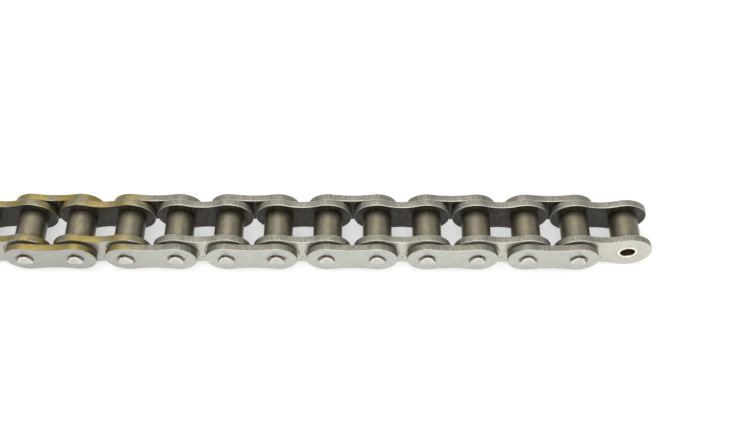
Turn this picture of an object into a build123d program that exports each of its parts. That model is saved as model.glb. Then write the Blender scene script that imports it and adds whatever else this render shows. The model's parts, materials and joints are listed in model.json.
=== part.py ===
"""Straight strand of single-strand roller conveyor chain, thirteen pitches long, standing on its plate edges.

Seven inner links and six outer links alternate along X, and both ends are inner links with open bushes.
The pins lie along Y, and Z is up. The origin is under the middle of the strand, on the plane it stands on.
Pieces are numbered from the +X end. Sizes are in millimetres.
"""

from build123d import *
import math
import os

# Layout of the strand
pitch = 38.1  # from pin centre to pin centre
inner_link_count = 7  # an outer link joins each to the next

# Inner link: two plates pressed onto two bushes, with a roller on each bush
inner_width = 25.22  # between the inner plates
inner_plate_thickness = 5.6
inner_end_gap = 1.9  # between the round ends of neighbouring inner plates
inner_waist_depth = 3.5  # how far the top and the bottom of an inner plate dip at mid length
bush_wall = 2.35
bush_mouth_chamfer = 0.65
bush_lead_chamfer = 0.5  # eases the end of a bush into its plate
roller_diameter = 22.23
roller_side_clearance = 0.3  # at each end of a roller
roller_edge_round = 0.7

# Outer link: two plates pressed onto the ends of two riveted pins
outer_plate_thickness = 5.6
outer_plate_step = 2.6  # how much lower an outer plate is than an inner one, at the top and the bottom
outer_waist_depth = 2.05
pin_diameter = 11.11

# Rivet head: three slanting facets are staked into each end of a pin, which spreads it
rivet_height = 2.1  # the pin's end stands this far off the outer plate
rivet_spread = 0.35  # how much the head is wider than the pin, all round
rivet_edge_chamfer = 0.4
stake_foot = 0.4  # a facet starts this far off the outer plate
stake_depth = 1.9  # and is this deep at the pin's end face
stake_turn = 7.0  # degrees by which the facets of different pins turn

# Fits
pin_running_clearance = 0.05  # radial, pin in bush
roller_running_clearance = 0.1  # radial, roller on bush
side_clearance = 0.9  # between an inner plate and the outer plate beside it
plate_edge_round = 0.6  # tumbled edges of every plate

# Sizes that follow from the ones above
inner_plate_height = pitch - inner_end_gap
outer_plate_height = inner_plate_height - 2 * outer_plate_step
bush_bore = pin_diameter + 2 * pin_running_clearance
bush_diameter = bush_bore + 2 * bush_wall
bush_length = inner_width + 2 * inner_plate_thickness
roller_bore = bush_diameter + 2 * roller_running_clearance
roller_length = inner_width - 2 * roller_side_clearance
inner_plate_y = inner_width / 2  # the face of an inner plate that the rollers run against
outer_plate_y = inner_plate_y + inner_plate_thickness + side_clearance  # an outer plate's hidden face
pin_length = 2 * (outer_plate_y + outer_plate_thickness + rivet_height)
pin_z = inner_plate_height / 2  # the strand stands on its inner plates
joint_count = 2 * inner_link_count


def joint_x(number):
    """The place along X of a pin, bush and roller axis, counted from 1 at the +X end."""
    return ((joint_count + 1) / 2 - number) * pitch


def link_x(first_joint):
    """The middle of the link that spans first_joint and the next one."""
    return joint_x(first_joint) - pitch / 2


def along_y(shape):
    """Turns a shape made along Z so that it lies along Y, with its own Y pointing up."""
    return Rot(90, 0, 0) * shape


def plate_outline(height, waist_depth):
    """A waisted link outline: a round end about each pin, and hollow arcs tangent to both ends."""
    end_radius = height / 2
    waist = end_radius - waist_depth
    half = pitch / 2
    hollow_radius = (half**2 + waist**2 - end_radius**2) / (2 * waist_depth)
    share = end_radius / (end_radius + hollow_radius)
    meet_x = half * (1 - share)
    meet_y = (waist + hollow_radius) * share
    tip = half + end_radius
    arcs = [
        ThreePointArc((-meet_x, meet_y), (0, waist), (meet_x, meet_y)),
        ThreePointArc((meet_x, meet_y), (tip, 0), (meet_x, -meet_y)),
        ThreePointArc((meet_x, -meet_y), (0, -waist), (-meet_x, -meet_y)),
        ThreePointArc((-meet_x, -meet_y), (-tip, 0), (-meet_x, meet_y)),
    ]
    return make_face(arcs)


def link_plate(height, waist_depth, thickness, hole_diameter):
    """A flat link plate with rounded edges and two round holes, its middle at the origin."""
    blank = extrude(plate_outline(height, waist_depth), amount=thickness / 2, both=True)
    rims = blank.edges().group_by(Axis.Z)
    blank = fillet(rims[0] + rims[-1], min(plate_edge_round, 0.4 * thickness))
    holes = [Pos(side * pitch / 2, 0) * Cylinder(hole_diameter / 2, thickness) for side in (-1, 1)]
    return along_y(blank - holes)


def make_bush():
    """A plain tube, flush with the inner plates that it is pressed into, with both ends chamfered."""
    tube = Cylinder(bush_diameter / 2, bush_length) - Cylinder(bush_bore / 2, bush_length)
    rims = tube.edges().filter_by(GeomType.CIRCLE).sort_by(SortBy.RADIUS)
    tube = chamfer(rims[:2], min(bush_mouth_chamfer, 0.4 * bush_wall))
    leads = tube.edges().filter_by(GeomType.CIRCLE).sort_by(SortBy.RADIUS)[-2:]
    return along_y(chamfer(leads, min(bush_lead_chamfer, 0.4 * bush_wall)))


def make_roller():
    """A plain tube that turns on a bush, with rounded outer edges."""
    wall = (roller_diameter - roller_bore) / 2
    tube = Cylinder(roller_diameter / 2, roller_length) - Cylinder(roller_bore / 2, roller_length)
    rims = tube.edges().filter_by(GeomType.CIRCLE).sort_by(SortBy.RADIUS)[2:]
    return along_y(fillet(rims, min(roller_edge_round, 0.4 * wall)))


def stake_wedge(turn):
    """What one facet takes off the +Z end of a pin, on the side that faces turn degrees from +X."""
    face = pin_length / 2
    foot = face - rivet_height + stake_foot
    slope = (rivet_spread + stake_depth) / (rivet_height - stake_foot)
    rim = pin_diameter / 2 + rivet_spread
    past = rivet_height  # the wedge runs on this far beyond the head
    side = Polyline(
        (rim, foot),
        (rim - slope * (face + past - foot), face + past),
        (rim + past, face + past),
        (rim + past, foot),
        close=True,
    )
    across = extrude(make_face(Plane.XZ * side), amount=pin_diameter, both=True)
    return Rot(0, 0, turn) * across


def make_pin(number):
    """A plain pin with a rivet head on each end, its facets turned a little from pin to pin."""
    shank_length = pin_length - 2 * rivet_height
    turn = stake_turn * math.sin(2.4 * number)
    head = Cylinder(pin_diameter / 2 + rivet_spread, rivet_height)
    head = chamfer(head.edges().group_by(Axis.Z)[-1], min(rivet_edge_chamfer, 0.4 * rivet_height))
    head = Pos(0, 0, (shank_length + rivet_height) / 2) * head
    for facet in (30, 150, 270):
        head -= stake_wedge(facet + turn)
    return along_y(Cylinder(pin_diameter / 2, shank_length) + head + mirror(head, Plane.XY))


def place(shape, x, y=0.0):
    return Pos(x, y, pin_z) * shape


def save(shape, name):
    shape.label = name
    export_step(shape, f"parts/{name}.step")


def main():
    os.makedirs("parts", exist_ok=True)
    inner_plate = link_plate(inner_plate_height, inner_waist_depth, inner_plate_thickness, bush_diameter)
    outer_plate = link_plate(outer_plate_height, outer_waist_depth, outer_plate_thickness, pin_diameter)
    bush = make_bush()
    roller = make_roller()
    inner_y = inner_plate_y + inner_plate_thickness / 2
    outer_y = outer_plate_y + outer_plate_thickness / 2

    for link in range(1, inner_link_count + 1):
        x = link_x(2 * link - 1)
        save(place(inner_plate, x, -inner_y), f"inner_plate_front_{link}")
        save(place(inner_plate, x, inner_y), f"inner_plate_back_{link}")

    for joint in range(1, joint_count + 1):
        save(place(bush, joint_x(joint)), f"bush_{joint:02d}")
        save(place(roller, joint_x(joint)), f"roller_{joint:02d}")

    for link in range(1, inner_link_count):
        x = link_x(2 * link)
        save(place(outer_plate, x, -outer_y), f"outer_plate_front_{link}")
        save(place(outer_plate, x, outer_y), f"outer_plate_back_{link}")
        pins = [place(make_pin(joint), joint_x(joint)) for joint in (2 * link, 2 * link + 1)]
        save(Compound(children=pins), f"pin_pair_{link}")


main()
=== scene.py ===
import bpy
import json
import math
import mathutils
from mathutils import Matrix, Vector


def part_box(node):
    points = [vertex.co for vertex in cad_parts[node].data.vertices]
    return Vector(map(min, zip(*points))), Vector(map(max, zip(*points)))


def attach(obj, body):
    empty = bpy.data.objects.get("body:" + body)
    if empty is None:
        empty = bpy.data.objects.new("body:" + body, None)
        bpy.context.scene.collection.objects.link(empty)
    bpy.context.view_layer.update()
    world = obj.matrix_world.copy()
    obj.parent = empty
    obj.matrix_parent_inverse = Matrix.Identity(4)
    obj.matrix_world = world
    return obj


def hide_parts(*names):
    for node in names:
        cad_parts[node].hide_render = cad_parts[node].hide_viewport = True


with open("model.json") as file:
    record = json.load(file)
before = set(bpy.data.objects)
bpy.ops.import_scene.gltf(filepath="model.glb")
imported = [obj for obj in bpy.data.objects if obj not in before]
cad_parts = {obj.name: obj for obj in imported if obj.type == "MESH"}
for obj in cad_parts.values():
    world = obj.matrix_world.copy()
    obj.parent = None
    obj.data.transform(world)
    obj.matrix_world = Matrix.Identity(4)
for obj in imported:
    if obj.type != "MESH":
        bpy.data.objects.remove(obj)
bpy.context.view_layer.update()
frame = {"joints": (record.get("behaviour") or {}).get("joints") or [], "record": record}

# --- The strand: inner and outer links take turns along X, joined at pins that lie along Y ---
# Heat-treated steel, shot-peened and oiled. The strand stands on its inner plates, and its links are
# numbered from the +X end. Pitch and pin height come from the joints of the frame.

pin_joints = {joint["child"]: joint["pos_m"] for joint in frame["joints"] if joint.get("continuous")}
pin_x = sorted((place[0] for place in pin_joints.values()), reverse=True)
pin_z = frame["joints"][0]["pos_m"][2]
pitch = pin_x[0] - pin_x[1]
bodies = frame["record"]["behaviour"]["bodies"]
body_of = {node: body for body, nodes in bodies.items() for node in nodes}
inner_link_count = sum(body.startswith("inner_link") for body in bodies)
outer_link_count = sum(body.startswith("outer_link") for body in bodies)
joint_count = len(pin_x)


# --- Inner plates: blanked from thick strip, so their edges are sheared and a little ragged ---
# A waisted outline with a round end about each bush. The die leaves one rim rounder than the other, and
# tumbling softens both. The outer faces are peened light grey, and the cut edges stay brownish.


class Number:
    """A value inside a node tree. Arithmetic on it makes Math nodes, in geometry and shader trees alike."""

    def __init__(self, socket):
        self.socket = socket

    def __add__(self, other):
        return math_node("ADD", self, other)

    def __radd__(self, other):
        return math_node("ADD", other, self)

    def __sub__(self, other):
        return math_node("SUBTRACT", self, other)

    def __rsub__(self, other):
        return math_node("SUBTRACT", other, self)

    def __mul__(self, other):
        return math_node("MULTIPLY", self, other)

    def __rmul__(self, other):
        return math_node("MULTIPLY", other, self)

    def __truediv__(self, other):
        return math_node("DIVIDE", self, other)

    def __rtruediv__(self, other):
        return math_node("DIVIDE", other, self)


def plug(value, socket):
    """Feeds a socket from a Number, from another socket, or with a plain value."""
    if isinstance(value, Number):
        value = value.socket
    if isinstance(value, bpy.types.NodeSocket):
        socket.id_data.links.new(value, socket)
    else:
        socket.default_value = value


def add_node(tree, kind, *values, **settings):
    """Adds a node with its settings, and feeds the inputs that it then has, in order."""
    node = tree.nodes.new(kind)
    for name, value in settings.items():
        setattr(node, name, value)
    open_inputs = [socket for socket in node.inputs if socket.enabled]
    for value, socket in zip(values, open_inputs):
        if value is not None:
            plug(value, socket)
    return node


def add(tree, kind, *values, **settings):
    """The first output of a new node."""
    node = add_node(tree, kind, *values, **settings)
    return next(socket for socket in node.outputs if socket.enabled)


def math_node(operation, *values):
    tree = next(value.socket.id_data for value in values if isinstance(value, Number))
    return Number(add(tree, "ShaderNodeMath", *values, operation=operation))


def vector(tree, x=0.0, y=0.0, z=0.0):
    return add(tree, "ShaderNodeCombineXYZ", x, y, z)


def new_group(name, kind, inputs, outputs):
    """A node tree with named inputs and outputs. Gives the tree, its input Numbers and its output node."""
    tree = bpy.data.node_groups.new(name, kind)
    socket_types = {float: "NodeSocketFloat", tuple: "NodeSocketVector", type(None): "NodeSocketMaterial"}
    for title, value in inputs.items():
        socket = tree.interface.new_socket(title, in_out="INPUT", socket_type=socket_types[type(value)])
        if value is not None:
            socket.default_value = value
    for title, socket_type in outputs.items():
        tree.interface.new_socket(title, in_out="OUTPUT", socket_type=socket_type)
    start = tree.nodes.new("NodeGroupInput")
    given = {title: Number(start.outputs[title]) for title in inputs}
    return tree, given, tree.nodes.new("NodeGroupOutput")


def finish_tree(tree, end, mesh, material):
    """Ends a geometry tree as the export needs it: real, smooth-shaded mesh with its material set."""
    mesh = add(tree, "GeometryNodeRealizeInstances", mesh)
    mesh = add(tree, "GeometryNodeSetShadeSmooth", mesh)
    plug(add(tree, "GeometryNodeSetMaterial", mesh, None, material), end.inputs[0])


def make_piece(tree, node, material, values):
    """Runs a geometry tree with these inputs. The plain mesh it gives stands for a CAD node from then on."""
    maker = bpy.data.objects.new("maker", bpy.data.meshes.new("maker"))
    bpy.context.scene.collection.objects.link(maker)
    modifier = maker.modifiers.new("maker", "NODES")
    modifier.node_group = tree
    inputs = [item for item in tree.interface.items_tree if item.in_out == "INPUT"]
    sockets = {item.name: item.identifier for item in inputs}
    for title, value in {**values, "Material": material}.items():
        modifier[sockets[title]] = value
    bpy.context.view_layer.update()
    evaluated = maker.evaluated_get(bpy.context.evaluated_depsgraph_get())
    mesh = bpy.data.meshes.new_from_object(evaluated)
    bpy.data.objects.remove(maker)
    mesh.name = f"worn_{node}"
    piece = bpy.data.objects.new(f"worn_{node}", mesh)
    bpy.context.scene.collection.objects.link(piece)
    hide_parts(node)
    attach(piece, body_of[node])


def swept_rim(tree, path, profile):
    """Sweeps a rim profile, drawn in XY, along a flat closed path in XY. Profile X points outwards."""
    upright = add(tree, "GeometryNodeSetCurveNormal", path, mode="Z_UP")
    sweep = add(tree, "GeometryNodeCurveToMesh", upright, profile, 1.0, False)
    return add(tree, "GeometryNodeFlipFaces", sweep)


def rim_profile(tree, depth, half_thickness, front_round, back_round, steps):
    """An open U about an edge: out along one face, round a corner, across the edge, and back the same way."""
    corners = (
        vector(tree, -depth, half_thickness),
        vector(tree, 0.0, half_thickness),
        vector(tree, 0.0, 0.0 - half_thickness),
        vector(tree, -depth, 0.0 - half_thickness),
    )
    shape = add(tree, "GeometryNodeCurvePrimitiveQuadrilateral", None, *corners, mode="POINTS")
    shape = add(tree, "GeometryNodeSetSplineCyclic", shape, None, False)
    index = Number(add(tree, "GeometryNodeInputIndex"))
    at_front = math_node("LESS_THAN", index, 1.5)
    radius = at_front * front_round + (1.0 - at_front) * back_round
    return add(tree, "GeometryNodeFilletCurve", shape, steps, radius, True, mode="POLY")


def waisted_outline(tree, pitch, end_radius, waist_depth, count):
    """A closed path: round ends about two pins, joined above and below by hollow arcs tangent to both."""
    half = pitch * 0.5
    waist = end_radius - waist_depth
    hollow = (half * half + waist * waist - end_radius * end_radius) / (2.0 * waist_depth)
    end_angle = math_node("ARCTAN2", waist + hollow, 0.0 - half)
    hollow_angle = math_node("ARCTAN2", half, waist + hollow)
    end_length = end_radius * end_angle
    quarter = end_length + hollow * hollow_angle
    share = Number(add(tree, "GeometryNodeInputIndex")) / count
    way = math_node("PINGPONG", share * 4.0, 1.0) * quarter
    on_end = math_node("LESS_THAN", way, end_length)
    end_turn = way / end_radius
    hollow_turn = (quarter - way) / hollow
    end_x = half + end_radius * math_node("COSINE", end_turn)
    end_y = end_radius * math_node("SINE", end_turn)
    hollow_x = hollow * math_node("SINE", hollow_turn)
    hollow_y = waist + hollow - hollow * math_node("COSINE", hollow_turn)
    side_x = math_node("SIGN", math_node("COSINE", share * math.tau))
    side_y = math_node("SIGN", math_node("SINE", share * math.tau))
    x = side_x * (on_end * end_x + (1.0 - on_end) * hollow_x)
    y = side_y * (on_end * end_y + (1.0 - on_end) * hollow_y)
    circle = add(tree, "GeometryNodeCurvePrimitiveCircle", count, 1.0, mode="RADIUS")
    return add(tree, "GeometryNodeSetPosition", circle, None, vector(tree, x, y))


def moved(tree, geometry, x=0.0, y=0.0, z=0.0, turn=(0.0, 0.0, 0.0)):
    return add(tree, "GeometryNodeTransform", geometry, vector(tree, x, y, z), turn)


def inset(tree, path, depth):
    """The same flat closed path, this much further inside."""
    upright = add(tree, "GeometryNodeSetCurveNormal", path, mode="Z_UP")
    offset = add(tree, "ShaderNodeVectorMath", add(tree, "GeometryNodeInputNormal"), operation="SCALE")
    plug(-depth, offset.node.inputs["Scale"])
    return add(tree, "GeometryNodeSetPosition", upright, None, None, offset)


def joined(tree, *parts):
    join = tree.nodes.new("GeometryNodeJoinGeometry")
    for part in parts:
        tree.links.new(part, join.inputs[0])
    return join.outputs[0]


def ragged(tree, mesh, amount, grain_size):
    """Pushes a surface in by up to this amount, unevenly, so that no edge is perfectly straight."""
    noise = add(tree, "ShaderNodeTexNoise", None, 1.0 / grain_size, 2.0, 0.6)
    inwards = 0.0 - Number(noise) * amount
    offset = add(tree, "ShaderNodeVectorMath", add(tree, "GeometryNodeInputNormal"), operation="SCALE")
    plug(inwards, offset.node.inputs["Scale"])
    return add(tree, "GeometryNodeSetPosition", mesh, None, None, offset)


plate_inputs = {
    "Centre": (0.0, 0.0, 0.0),
    "Turn": (0.0, 0.0, 0.0),
    "Pitch": 1.0,
    "End Radius": 1.0,
    "Waist Depth": 1.0,
    "Thickness": 1.0,
    "Hole Radius": 1.0,
    "Front Round": 1.0,
    "Back Round": 1.0,
    "Hole Round": 1.0,
    "Raggedness": 1.0,
    "Material": None,
}
plate_tree, plate, plate_end = new_group(
    "link_plate", "GeometryNodeTree", plate_inputs, {"Plate": "NodeSocketGeometry"}
)
outline_points, hole_points = 288, 72
corner_steps, hole_corner_steps = 4, 3
rim_depth = 0.0016
weld_distance = 0.00002
ragged_grain = 0.0025

outline_sizes = (plate["Pitch"], plate["End Radius"], plate["Waist Depth"])
outline = waisted_outline(plate_tree, *outline_sizes, outline_points)
half_thickness = plate["Thickness"] * 0.5
rounds = (plate["Front Round"], plate["Back Round"])
rim = rim_profile(plate_tree, rim_depth, half_thickness, *rounds, corner_steps)
edge = swept_rim(plate_tree, outline, rim)

hole = add(plate_tree, "GeometryNodeCurvePrimitiveCircle", hole_points, plate["Hole Radius"], mode="RADIUS")
hole = add(plate_tree, "GeometryNodeReverseCurve", hole)
hole_round = plate["Hole Round"]
bore_rim = rim_profile(plate_tree, rim_depth, half_thickness, hole_round, hole_round, hole_corner_steps)
bore = swept_rim(plate_tree, hole, bore_rim)
bores = joined(plate_tree, *(moved(plate_tree, bore, plate["Pitch"] * side) for side in (-0.5, 0.5)))

hole_edge = inset(plate_tree, hole, rim_depth)
hole_edges = [moved(plate_tree, hole_edge, plate["Pitch"] * side) for side in (-0.5, 0.5)]
flat_border = joined(plate_tree, inset(plate_tree, outline, rim_depth), *hole_edges)
flat = add(plate_tree, "GeometryNodeFillCurve", flat_border)
front_face = moved(plate_tree, flat, z=half_thickness)
back_face = moved(plate_tree, add(plate_tree, "GeometryNodeFlipFaces", flat), z=0.0 - half_thickness)

whole = joined(plate_tree, edge, bores, front_face, back_face)
whole = add(plate_tree, "GeometryNodeMergeByDistance", whole, None, weld_distance)
whole = add(plate_tree, "GeometryNodeTransform", whole, plate["Centre"], plate["Turn"])
whole = ragged(plate_tree, whole, plate["Raggedness"], ragged_grain)
finish_tree(plate_tree, plate_end, whole, plate["Material"])


def shader_noise(tree, place, size, detail=3.0, stretch=(1.0, 1.0, 1.0)):
    """Noise with features about this many metres across, drawn out where stretch is below one."""
    scaled = add(tree, "ShaderNodeMapping", place, None, None, tuple(share / size for share in stretch))
    return Number(add(tree, "ShaderNodeTexNoise", scaled, 1.0, detail, 0.6))


def ramp(value, low, high, at_low=0.0, at_high=1.0):
    """A smooth step from at_low to at_high as a Number goes from low to high."""
    limits = (low, high, at_low, at_high)
    tree = value.socket.id_data
    return Number(add(tree, "ShaderNodeMapRange", value, *limits, interpolation_type="SMOOTHSTEP"))


def mixed(tree, share, first, second, blend="MIX"):
    return add(tree, "ShaderNodeMix", share, first, second, data_type="RGBA", blend_type=blend)


def toned(tree, colour, tone):
    """A colour made lighter or darker by a Number about one."""
    grey = add(tree, "ShaderNodeCombineColor", tone, tone, tone)
    return mixed(tree, 1.0, colour, grey, "MULTIPLY")


def split(tree, socket):
    node = add_node(tree, "ShaderNodeSeparateXYZ", socket)
    return [Number(part) for part in node.outputs]


def coordinates(tree):
    """Where a point is on its piece, and which way the surface faces there."""
    node = tree.nodes.new("ShaderNodeTexCoord")
    return node.outputs["Object"], node.outputs["Normal"]


# Peened and tumbled steel: a fine grain, and blotches a few millimetres across
grain_group, grain_in, grain_out = new_group(
    "steel_grain",
    "ShaderNodeTree",
    {"Grain Size": 0.0005, "Grain": 0.2, "Blotches": 0.15},
    {"Tone": "NodeSocketFloat", "Height": "NodeSocketFloat"},
)
grain_place = coordinates(grain_group)[0]
finer = add(grain_group, "ShaderNodeVectorMath", grain_place, operation="SCALE")
plug(1.0 / grain_in["Grain Size"], finer.node.inputs["Scale"])
fine = Number(add(grain_group, "ShaderNodeTexNoise", finer, 1.0, 3.0, 0.65))
blotch_size = 0.006
blotch = shader_noise(grain_group, grain_place, blotch_size)
grain_tone = (fine - 0.5) * grain_in["Grain"] * 2.0
blotch_tone = (blotch - 0.5) * grain_in["Blotches"] * 2.0
plug(1.0 + grain_tone + blotch_tone, grain_out.inputs["Tone"])
plug(fine, grain_out.inputs["Height"])

# Old oil: heaviest on what faces up at the -X end of the strand. Round each joint a ring of dirt and
# painted shade, at the foot of what stands over the plate there
oil_and_shade_group, oil_and_shade_in, oil_and_shade_out = new_group(
    "old_oil_and_ring_shade",
    "ShaderNodeTree",
    {
        "Pitch": 0.0381,
        "Joint Height": 0.018,
        "Ring Radius": 0.016,
        "Ring Width": 0.0012,
        "Left Start": -0.1,
        "Fade": 0.04,
    },
    {"Oil": "NodeSocketFloat", "Ring": "NodeSocketFloat", "Speckle": "NodeSocketFloat"},
)
oil_and_shade_place, oil_and_shade_normal = coordinates(oil_and_shade_group)
oil_and_shade_x, _, oil_and_shade_z = split(oil_and_shade_group, oil_and_shade_place)
facing_up = split(oil_and_shade_group, oil_and_shade_normal)[2]
patch_size, smear_size, spot_size = 0.011, 0.003, 0.0016
patches = shader_noise(oil_and_shade_group, oil_and_shade_place, patch_size, 4.0)
smears = shader_noise(oil_and_shade_group, oil_and_shade_place, smear_size)
spots = shader_noise(oil_and_shade_group, oil_and_shade_place, spot_size)
left = ramp(oil_and_shade_x, oil_and_shade_in["Left Start"], oil_and_shade_in["Left Start"] - oil_and_shade_in["Fade"])
upward = ramp(facing_up, 0.1, 0.6)
oil = ramp(patches + left * 0.2 + (smears - 0.5) * 0.5, 0.5, 0.72) * left * upward
# The ring: dirt and painted shade, darkening the plate at the foot of the outer plate's end or the pin head
across = math_node("FRACT", oil_and_shade_x / oil_and_shade_in["Pitch"]) - 0.5
along = oil_and_shade_z - oil_and_shade_in["Joint Height"]
offset_x = across * oil_and_shade_in["Pitch"]
distance = math_node("SQRT", offset_x * offset_x + along * along)
from_ring = math_node("ABSOLUTE", distance - oil_and_shade_in["Ring Radius"]) / oil_and_shade_in["Ring Width"]
from_centre = math_node("ABSOLUTE", oil_and_shade_x) / oil_and_shade_in["Pitch"]
among_pins = ramp(from_centre, float(outer_link_count), outer_link_count - 0.1)
ring = ramp(from_ring, 1.0, 0.0) * ramp(patches, 0.42, 0.6) * among_pins
plug(oil, oil_and_shade_out.inputs["Oil"])
plug(ring, oil_and_shade_out.inputs["Ring"])
plug(ramp(spots, 0.58, 0.7), oil_and_shade_out.inputs["Speckle"])


def group_node(tree, group, **values):
    """Places a node group in a material. A name's underscores stand for the spaces in the input's title."""
    node = tree.nodes.new("ShaderNodeGroup")
    node.node_tree = group
    for name, value in values.items():
        plug(value, node.inputs[name.replace("_", " ").title()])
    return {socket.name: Number(socket) for socket in node.outputs}


def new_material(name):
    material = bpy.data.materials.new(name)
    material.use_nodes = True
    return material, material.node_tree, material.node_tree.nodes["Principled BSDF"]


def punched_mark(tree, place):
    """A mask for the small dot that a punch leaves low on the waist of each inner plate."""
    mark_height, mark_radius, mark_core = 0.011, 0.0009, 0.0004
    x, _, z = split(tree, place)
    span = 2.0 * pitch
    from_middle = (math_node("FRACT", x / span + 0.5) - 0.5) * span
    below = z - mark_height
    return ramp(math_node("SQRT", from_middle * from_middle + below * below), mark_radius, mark_core)


def rust_stain(tree, place, stain_x):
    """A mask for the streaky rust that has crept out from under one rivet head on the front."""
    stain_radius, stain_core, stain_rise = 0.0105, 0.006, 0.0015
    plate_back, plate_front = -0.02, -0.024
    x, y, z = split(tree, place)
    along = x - stain_x
    above = z - pin_z - stain_rise
    from_stain = math_node("SQRT", along * along + above * above * 2.0)
    streaks = shader_noise(tree, place, 0.0012, 4.0, (0.4, 1.0, 1.0))
    on_front = ramp(y, plate_back, plate_front)
    return ramp(from_stain, stain_radius, stain_core) * on_front * ramp(streaks, 0.42, 0.6)


def plate_material(name, face_colour, edge_colour, ring_radius, stain_x=None):
    """Faces peened light, cut edges brownish with fine marks across them, and rims rubbed bright between.

    The sides that face the middle of the strand are painted near black, as shade and dark reflections
    between the plates, with runs of old oil. A ring of dirt and painted shade lies round each joint, and
    the colour darkens towards the -X end as a painted fall-off of light. Plates with a place for the
    stain have rust there, and the others have punched marks.
    """
    material, tree, shader = new_material(name)
    place, normal = coordinates(tree)
    outward = split(tree, normal)[1] * math_node("SIGN", split(tree, place)[1])
    facing = math_node("ABSOLUTE", outward)
    on_face = ramp(facing, 0.8, 0.97)
    inside = ramp(outward, -0.6, -0.95)
    on_edge = ramp(facing, 0.45, 0.12)
    on_rim = (1.0 - on_face) * (1.0 - on_edge)
    grain = group_node(tree, grain_group, grain_size=0.00045, grain=0.22, blotches=0.2)
    oil_and_shade = group_node(tree, oil_and_shade_group, pitch=pitch, joint_height=pin_z, ring_radius=ring_radius)

    shear_marks = shader_noise(tree, place, 0.0006, 2.0, (1.0, 0.12, 1.0))
    cut_edge = toned(tree, edge_colour, ramp(shear_marks, 0.35, 0.65, 0.72, 1.18))
    colour = mixed(tree, on_face, cut_edge, face_colour)
    rubbed_steel = (0.62, 0.61, 0.55, 1.0)
    colour = mixed(tree, on_rim * 0.7, colour, rubbed_steel)
    colour = toned(tree, colour, grain["Tone"])

    # Painted shade: the colour darkens towards the -X end of the strand, as a fall-off of light there
    light_falloff = ramp(split(tree, place)[0], -0.19, -0.06, 0.8, 1.0)
    light_falloff_colour = add(tree, "ShaderNodeCombineColor", light_falloff, light_falloff, light_falloff * 0.98)
    colour = mixed(tree, 1.0, colour, light_falloff_colour, "MULTIPLY")
    yellow_oil, pale_specks = (0.22, 0.165, 0.035, 1.0), (0.46, 0.40, 0.2, 1.0)
    ring_dirt_and_shade = (0.13, 0.08, 0.025, 1.0)
    colour = mixed(tree, oil_and_shade["Oil"] * 0.85, colour, yellow_oil)
    colour = mixed(tree, oil_and_shade["Oil"] * oil_and_shade["Speckle"] * 0.7, colour, pale_specks)
    # Dirt and painted shade: a dark ring on the faces round each joint, where the outer plate's end or the
    # pin head stands over them
    colour = mixed(tree, oil_and_shade["Ring"] * on_face * 0.85, colour, ring_dirt_and_shade)
    if stain_x is None:
        colour = mixed(tree, punched_mark(tree, place) * on_face * 0.8, colour, (0.05, 0.04, 0.03, 1.0))
    else:
        stain = rust_stain(tree, place, stain_x) * on_face
        colour = mixed(tree, stain * 0.9, colour, (0.13, 0.065, 0.035, 1.0))
    # Painted shade: the sides facing the middle of the strand are painted near black for the shade and dark
    # reflections between the plates, with runs of old oil
    runs = shader_noise(tree, place, 0.0022, 3.0, (1.0, 1.0, 0.3))
    black_oil_and_shade, thin_oil_and_shade = (0.024, 0.02, 0.014, 1.0), (0.064, 0.055, 0.043, 1.0)
    colour = mixed(tree, inside, colour, mixed(tree, ramp(runs, 0.35, 0.7), black_oil_and_shade, thin_oil_and_shade))
    plug(colour, shader.inputs["Base Color"])

    roughness = 0.40 + (1.0 - on_face) * 0.12 + (grain["Height"] - 0.5) * 0.25 - oil_and_shade["Oil"] * 0.12
    plug(roughness, shader.inputs["Roughness"])
    plug(0.92 - inside * 0.45, shader.inputs["Metallic"])
    speckle_height = oil_and_shade["Oil"] * oil_and_shade["Speckle"] * 0.6
    height = grain["Height"] * 0.3 + (1.0 - on_face) * shear_marks * 0.9 + speckle_height
    plug(add(tree, "ShaderNodeBump", 0.35, 0.0001, None, height), shader.inputs["Normal"])
    return material


def make_plates(kind, count, material, waist_depth, hole_radius):
    """The front and back plates of every link of one kind. The trees' front is the strand's outside."""
    for number in range(1, count + 1):
        for side, turn in (("front", math.pi / 2), ("back", -math.pi / 2)):
            node = f"{kind}_{side}_{number}"
            low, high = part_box(node)
            sizes = {
                "Centre": (low + high) / 2,
                "Turn": (turn, 0.0, 0.0),
                "Pitch": pitch,
                "End Radius": (high.z - low.z) / 2,
                "Waist Depth": waist_depth,
                "Thickness": high.y - low.y,
                "Hole Radius": hole_radius,
                "Front Round": 0.0009,
                "Back Round": 0.0005,
                "Hole Round": 0.0002,
                "Raggedness": 0.00006,
            }
            make_piece(plate_tree, node, material, sizes)


inner_face, inner_edge = (0.55, 0.54, 0.49, 1.0), (0.235, 0.225, 0.19, 1.0)
dirt_and_shade_radius = 0.0164
inner_plate_steel = plate_material("inner_plate_steel", inner_face, inner_edge, dirt_and_shade_radius)
inner_waist_depth = 0.0035
bush_low, bush_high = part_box("bush_01")
bush_radius = (bush_high.z - bush_low.z) / 2
make_plates("inner_plate", inner_link_count, inner_plate_steel, inner_waist_depth, bush_radius)


# --- Bushes: case-hardened tubes, pressed into both inner plates and flush with them ---
# Both mouths are chamfered and ground bright. Only the bores at the two ends of the strand are open; the
# rest hold pins.

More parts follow.
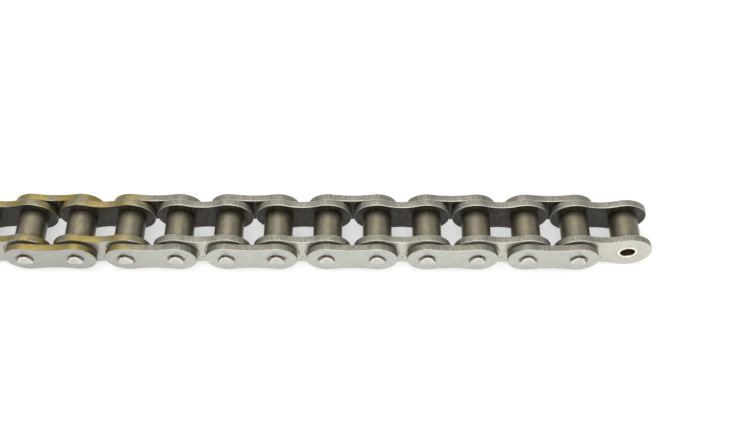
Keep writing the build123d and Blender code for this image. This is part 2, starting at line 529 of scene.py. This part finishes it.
ring_tree, ring_in, ring_end = new_group(
    "turned_ring",
    "GeometryNodeTree",
    {
        "Centre": (0.0, 0.0, 0.0),
        "Outer Radius": 1.0,
        "Wall": 1.0,
        "Length": 1.0,
        "Corner": 1.0,
        "Material": None,
    },
    {"Ring": "NodeSocketGeometry"},
)
section = add(ring_tree, "GeometryNodeCurvePrimitiveQuadrilateral", ring_in["Wall"], ring_in["Length"])
rounding = (corner_steps, ring_in["Corner"], True)
section = add(ring_tree, "GeometryNodeFilletCurve", section, *rounding, mode="POLY")
mid_radius = ring_in["Outer Radius"] - ring_in["Wall"] * 0.5
ring_points = 96
ring_path = add(ring_tree, "GeometryNodeCurvePrimitiveCircle", ring_points, mid_radius, mode="RADIUS")
tube = swept_rim(ring_tree, ring_path, section)
tube = add(ring_tree, "GeometryNodeTransform", tube, ring_in["Centre"], (math.pi / 2, 0.0, 0.0))
finish_tree(ring_tree, ring_end, tube, ring_in["Material"])

bush_steel, tree, shader = new_material("bush_steel")
place, normal = coordinates(tree)
end_face = ramp(math_node("ABSOLUTE", split(tree, normal)[1]), 0.25, 0.6)
grain = group_node(tree, grain_group, grain_size=0.0004, grain=0.2, blotches=0.3)
dark_brown, light_brown = (0.10, 0.065, 0.03, 1.0), (0.30, 0.23, 0.13, 1.0)
ground_steel = (0.78, 0.76, 0.68, 1.0)
bore_brown = mixed(tree, shader_noise(tree, place, 0.004), dark_brown, light_brown)
colour = mixed(tree, end_face, bore_brown, ground_steel)
plug(toned(tree, colour, grain["Tone"]), shader.inputs["Base Color"])
plug(0.34 + (grain["Height"] - 0.5) * 0.3, shader.inputs["Roughness"])
shader.inputs["Metallic"].default_value = 0.9
plug(add(tree, "ShaderNodeBump", 0.25, 0.0001, None, grain["Height"]), shader.inputs["Normal"])

bore_radius = frame["record"]["mounts"][0]["dims"]["r_mm"] / 1000
for number in range(1, joint_count + 1):
    node = f"bush_{number:02d}"
    low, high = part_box(node)
    sizes = {
        "Centre": (low + high) / 2,
        "Outer Radius": bush_radius,
        "Wall": bush_radius - bore_radius,
        "Length": high.y - low.y,
        "Corner": 0.0006,
    }
    make_piece(ring_tree, node, bush_steel, sizes)


# --- Rollers: solid-drawn rings that turn freely on the bushes, worn along the middle of each face ---
# Dark brown steel under a thin coat of oil, a little paler where the teeth rub, and with a painted highlight
# round the corners at its ends.

roller_steel, tree, shader = new_material("roller_steel")
place, normal = coordinates(tree)
from_middle = math_node("ABSOLUTE", split(tree, place)[1])
rubbed = ramp(from_middle, 0.011, 0.006)
grain = group_node(tree, grain_group, grain_size=0.0006, grain=0.35, blotches=0.35)
oil_and_shade = group_node(tree, oil_and_shade_group, pitch=pitch, joint_height=pin_z)
scuffs = shader_noise(tree, place, 0.0012, 3.0, (1.0, 0.15, 1.0))
dark_steel, worn_steel = (0.11, 0.093, 0.06, 1.0), (0.205, 0.183, 0.13, 1.0)
scuffed_steel, corner_highlight = (0.28, 0.255, 0.2, 1.0), (0.45, 0.42, 0.35, 1.0)
oil_specks = (0.4, 0.35, 0.22, 1.0)
colour = mixed(tree, rubbed * 0.6, dark_steel, worn_steel)
colour = mixed(tree, ramp(scuffs, 0.5, 0.75) * 0.35, colour, scuffed_steel)
colour = toned(tree, colour, grain["Tone"])
oily_end = ramp(split(tree, place)[0], -0.1, -0.16)
colour = mixed(tree, oil_and_shade["Speckle"] * oily_end * 0.5, colour, oil_specks)
# Painted highlight: the rounded corners and ends of each roller are painted paler
end_ring = ramp(math_node("ABSOLUTE", split(tree, normal)[1]), 0.3, 0.7)
colour = mixed(tree, end_ring * 0.5, colour, corner_highlight)
plug(colour, shader.inputs["Base Color"])
plug(0.42 + (grain["Height"] - 0.5) * 0.35, shader.inputs["Roughness"])
shader.inputs["Metallic"].default_value = 0.85
height = grain["Height"] + scuffs * 0.5
plug(add(tree, "ShaderNodeBump", 0.4, 0.00012, None, height), shader.inputs["Normal"])

running_clearance = 0.0001
for number in range(1, joint_count + 1):
    node = f"roller_{number:02d}"
    low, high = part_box(node)
    radius = (high.z - low.z) / 2
    sizes = {
        "Centre": (low + high) / 2,
        "Outer Radius": radius,
        "Wall": radius - bush_radius - running_clearance,
        "Length": high.y - low.y,
        "Corner": 0.0007,
    }
    make_piece(ring_tree, node, roller_steel, sizes)


# --- Outer plates: like the inner ones, but lower and less waisted, pressed onto the ends of the pins ---
# Peened steel with a plain face. The front of one plate has a rust stain about a rivet.

outer_face, outer_edge = (0.475, 0.48, 0.445, 1.0), (0.215, 0.2, 0.165, 1.0)
dirt_and_shade_radius = 0.0066
rusty_pin_x = pin_x[7]
outer_plate_steel = plate_material("outer_plate_steel", outer_face, outer_edge, dirt_and_shade_radius, rusty_pin_x)
outer_waist_depth = 0.00205
pin_radius = 0.005555
make_plates("outer_plate", outer_link_count, outer_plate_steel, outer_waist_depth, pin_radius)


# --- Pins: ground steel, pressed into both outer plates and riveted over ---
# A three-sided punch stakes each end, so that its face is a rounded triangle, flat side down, and the
# metal it pushes out spreads the head beyond the hole.

pin_tree, pin_in, pin_end = new_group(
    "riveted_pins",
    "GeometryNodeTree",
    {
        "Centre": (0.0, 0.0, 0.0),
        "Pitch": 1.0,
        "Length": 1.0,
        "Pin Radius": 1.0,
        "Head Radius": 1.0,
        "Head Height": 1.0,
        "Facet Depth": 1.0,
        "First Turn": 0.0,
        "Second Turn": 0.0,
        "Material": None,
    },
    {"Pins": "NodeSocketGeometry"},
)


def staked_head(tree, head_radius, head_height, facet_depth):
    """A closed head on its own XY plane, with three facets staked round its top.

    A flat grid is wrapped round: X becomes the angle, and Y goes from the middle of the face over its rim,
    down the side and back to the middle of the foot.
    """
    face_share, side_share = 0.3, 0.8
    corner, foot, softness = 0.0005, 0.0003, 0.0004
    angle_points, row_points = 97, 34
    least_facing = 0.25
    grid = add(tree, "GeometryNodeMeshGrid", 1.0, 1.0, angle_points, row_points)
    spread = split(tree, add(tree, "GeometryNodeInputPosition"))
    angle = (spread[0] + 0.5) * math.tau
    row = spread[1] + 0.5
    up_side = math_node("MAXIMUM", (side_share - row) / (side_share - face_share), 0.0)
    height = math_node("MINIMUM", up_side, 1.0) * head_height
    over_face = math_node("MINIMUM", row / face_share, 1.0)
    reach = math_node("MINIMUM", over_face, (1.0 - row) / (1.0 - side_share))
    above_corner = math_node("MAXIMUM", height - (head_height - corner), 0.0)
    rounding = math_node("SQRT", math_node("MAXIMUM", corner * corner - above_corner * above_corner, 0.0))
    radius = head_radius - corner + rounding
    slope = facet_depth / (head_height - foot)
    flat_distance = head_radius - slope * math_node("MAXIMUM", height - foot, 0.0)
    for facet in (30, 150, 270):
        facing = math_node("MAXIMUM", math_node("COSINE", angle - math.radians(facet)), least_facing)
        radius = math_node("SMOOTH_MIN", radius, flat_distance / facing, softness)
    radius = radius * reach
    place = vector(tree, radius * math_node("COSINE", angle), radius * math_node("SINE", angle), height)
    head = add(tree, "GeometryNodeSetPosition", grid, None, place)
    return add(tree, "GeometryNodeMergeByDistance", head, None, 0.00001)


head = staked_head(pin_tree, pin_in["Head Radius"], pin_in["Head Height"], pin_in["Facet Depth"])
shank_length = pin_in["Length"] - pin_in["Head Height"] * 2.0
shank_sides = 64
shank = add(pin_tree, "GeometryNodeMeshCylinder", shank_sides, 1, 1, pin_in["Pin Radius"], shank_length)
head = moved(pin_tree, head, z=shank_length * 0.5)
tail = add(pin_tree, "GeometryNodeTransform", head, None, None, (1.0, 1.0, -1.0))
tail = add(pin_tree, "GeometryNodeFlipFaces", tail)
pin = joined(pin_tree, head, shank, tail)
first_turn = vector(pin_tree, z=pin_in["First Turn"])
second_turn = vector(pin_tree, z=pin_in["Second Turn"])
first = moved(pin_tree, pin, x=pin_in["Pitch"] * 0.5, turn=first_turn)
second = moved(pin_tree, pin, x=pin_in["Pitch"] * -0.5, turn=second_turn)
pins = joined(pin_tree, first, second)
pins = add(pin_tree, "GeometryNodeTransform", pins, pin_in["Centre"], (math.pi / 2, 0.0, 0.0))
finish_tree(pin_tree, pin_end, pins, pin_in["Material"])

pin_steel, tree, shader = new_material("pin_steel")
place, normal = coordinates(tree)
low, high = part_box("pin_pair_1")
facing = math_node("ABSOLUTE", split(tree, normal)[1])
grain = group_node(tree, grain_group, grain_size=0.0005, grain=0.2, blotches=0.2)
side_steel, rim_highlight = (0.46, 0.38, 0.32, 1.0), (0.66, 0.655, 0.61, 1.0)
face_steel = (0.52, 0.52, 0.485, 1.0)
root_dirt_and_shade = (0.085, 0.062, 0.04, 1.0)
# Painted highlight: the rounded rim between the face and the side of each head is painted paler than the face
colour = mixed(tree, ramp(facing, 0.35, 0.75), side_steel, rim_highlight)
colour = mixed(tree, ramp(facing, 0.9, 0.99), colour, face_steel)
# Dirt and painted shade: the sides of each head are painted dark near the plate, away from its face
pin_reach = (high.y - low.y) / 2
from_face = pin_reach - math_node("ABSOLUTE", split(tree, place)[1])
root = ramp(from_face, 0.0003, 0.0012) * ramp(facing, 0.97, 0.85)
colour = mixed(tree, root * 0.85, colour, root_dirt_and_shade)
plug(toned(tree, colour, grain["Tone"]), shader.inputs["Base Color"])
plug(0.3 + (grain["Height"] - 0.5) * 0.3, shader.inputs["Roughness"])
shader.inputs["Metallic"].default_value = 0.95
plug(add(tree, "ShaderNodeBump", 0.3, 0.00015, None, grain["Height"]), shader.inputs["Normal"])

head_height = 0.0021
facet_depth = 0.00225
most_turn, turn_step = math.radians(7.0), 2.4  # each pin's facets are turned a little differently
for number in range(1, outer_link_count + 1):
    node = f"pin_pair_{number}"
    low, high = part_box(node)
    sizes = {
        "Centre": (low + high) / 2,
        "Pitch": pitch,
        "Length": high.y - low.y,
        "Pin Radius": pin_radius,
        "Head Radius": (high.z - low.z) / 2,
        "Head Height": head_height,
        "Facet Depth": facet_depth,
        "First Turn": most_turn * math.sin(turn_step * 2 * number),
        "Second Turn": most_turn * math.sin(turn_step * (2 * number + 1)),
    }
    make_piece(pin_tree, node, pin_steel, sizes)


# --- Studio: a white floor, a broad soft light from the front and one overhead, and the camera ---
# None of this belongs to the strand.


def seen_directly(tree):
    """One on rays from the camera, a mirror or through glass, and nothing on those that only give light."""
    ray = tree.nodes.new("ShaderNodeLightPath")
    titles = ("Is Camera Ray", "Is Glossy Ray", "Is Transmission Ray")
    camera_ray, glossy_ray, clear_ray = (Number(ray.outputs[title]) for title in titles)
    return math_node("MAXIMUM", math_node("MAXIMUM", camera_ray, glossy_ray), clear_ray)


floor_size = 12.0
bpy.ops.mesh.primitive_plane_add(size=floor_size)
floor = bpy.context.object
floor.name = "studio_floor"
floor_paint, tree, shader = new_material("floor_white")
shader.inputs["Base Color"].default_value = (0.66, 0.66, 0.66, 1.0)
shader.inputs["Roughness"].default_value = 0.9
shader.inputs["Emission Color"].default_value = (1.0, 1.0, 1.0, 1.0)
floor_glow = 0.5
plug(seen_directly(tree) * floor_glow, shader.inputs["Emission Strength"])
floor.data.materials.append(floor_paint)

world = bpy.data.worlds.new("studio_white")
world.use_nodes = True
bpy.context.scene.world = world
tree = world.node_tree
ambient = 0.42
backdrop = tree.nodes["Background"]
backdrop.inputs["Color"].default_value = (1.0, 1.0, 1.0, 1.0)
plug(ambient + seen_directly(tree) * (1.0 - ambient), backdrop.inputs["Strength"])


def soft_light(name, place, aim, size, power):
    """A square soft box that faces a point."""
    lamp = bpy.data.lights.new(name, "AREA")
    lamp.size = size
    lamp.energy = power
    box = bpy.data.objects.new(name, lamp)
    box.location = place
    box.rotation_euler = (mathutils.Vector(aim) - box.location).to_track_quat("-Z", "Y").to_euler()
    bpy.context.scene.collection.objects.link(box)


soft_light("front_box", (0.1, -1.2, 1.1), (0.0, 0.0, 0.0), 1.2, 16.0)
soft_light("top_box", (-0.2, 0.5, 1.6), (0.0, 0.0, 0.0), 1.4, 12.0)

camera_data = bpy.data.cameras.new("camera")
camera_data.sensor_width = 36.0
camera_data.lens = 45.32
camera_data.clip_start = 0.01
camera = bpy.data.objects.new("camera", camera_data)
aim = mathutils.Vector((0.05545, 0.0, 0.0319))
distance, elevation, azimuth = 0.7161, math.radians(58.93), math.radians(0.124)
back = mathutils.Vector((
    math.sin(azimuth) * math.cos(elevation),
    -math.cos(azimuth) * math.cos(elevation),
    math.sin(elevation),
))
camera.location = aim + back * distance
camera.rotation_euler = (-back).to_track_quat("-Z", "Y").to_euler()
bpy.context.scene.collection.objects.link(camera)
bpy.context.scene.camera = camera
bpy.context.scene.view_settings.view_transform = "Standard"
